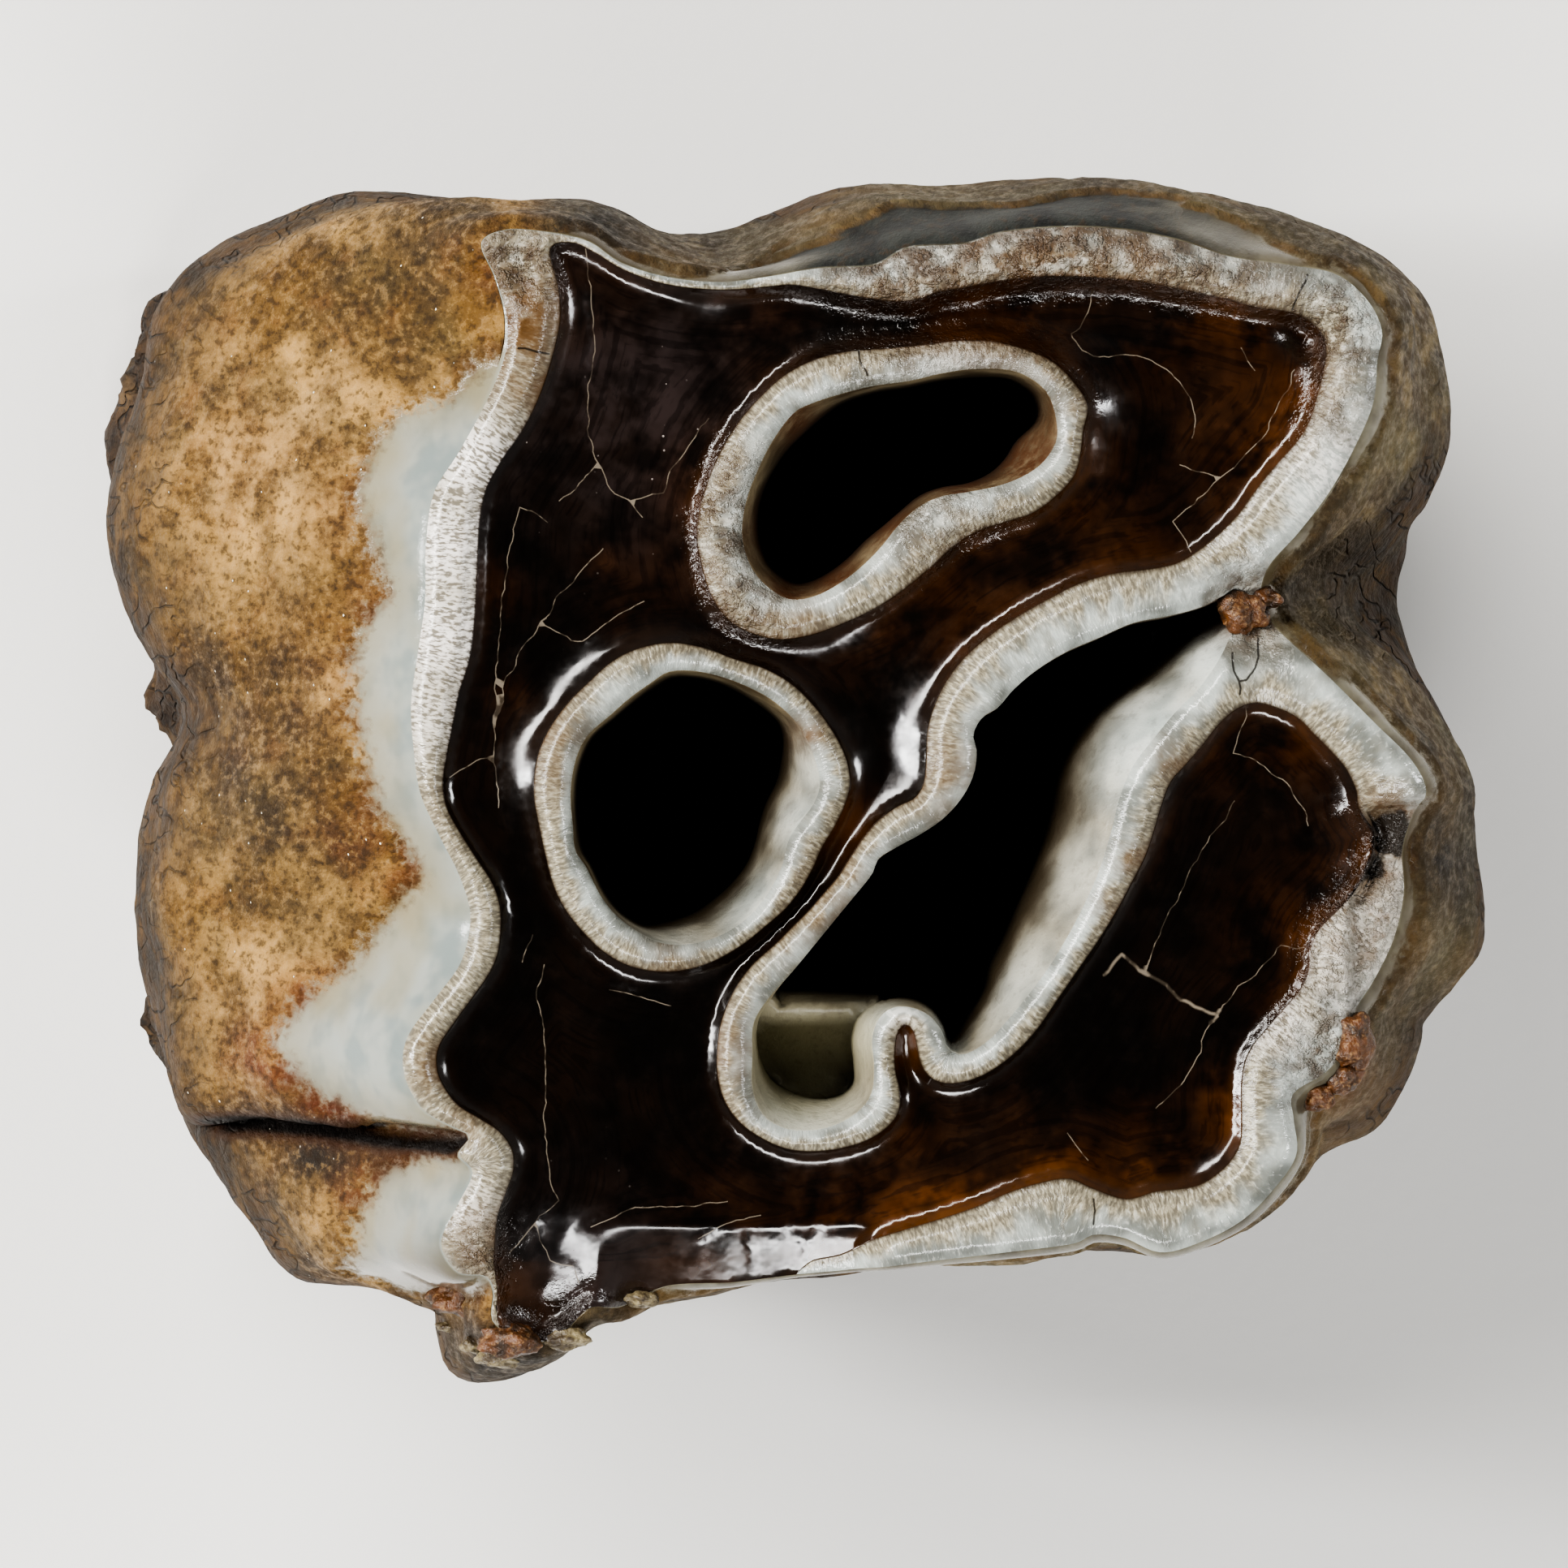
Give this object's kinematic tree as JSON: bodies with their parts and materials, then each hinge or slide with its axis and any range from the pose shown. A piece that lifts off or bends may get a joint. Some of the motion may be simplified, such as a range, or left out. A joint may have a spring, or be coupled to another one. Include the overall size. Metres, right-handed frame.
{
  "type": "fossil tooth",
  "caption": "Fossil upper cheek tooth of a woolly rhinoceros: worn chewing surface with enamel-lined pits and an open valley, on broken root stubs.",
  "frame": {"origin": "middle of the footprint, on the plane of the flat root ends", "axes": "+X from the cheek side to the tongue side, +Y towards the back of the jaw, +Z from the roots to the chewing surface"},
  "size_m": [0.0648, 0.0546, 0.0507],
  "materials": {
    "fossil_tooth": "polished dark dentine and pale enamel, with matt brown cementum on the sides"
  },
  "bodies": {
    "root": {"tooth": "fossil_tooth"}
  },
  "joints": []
}
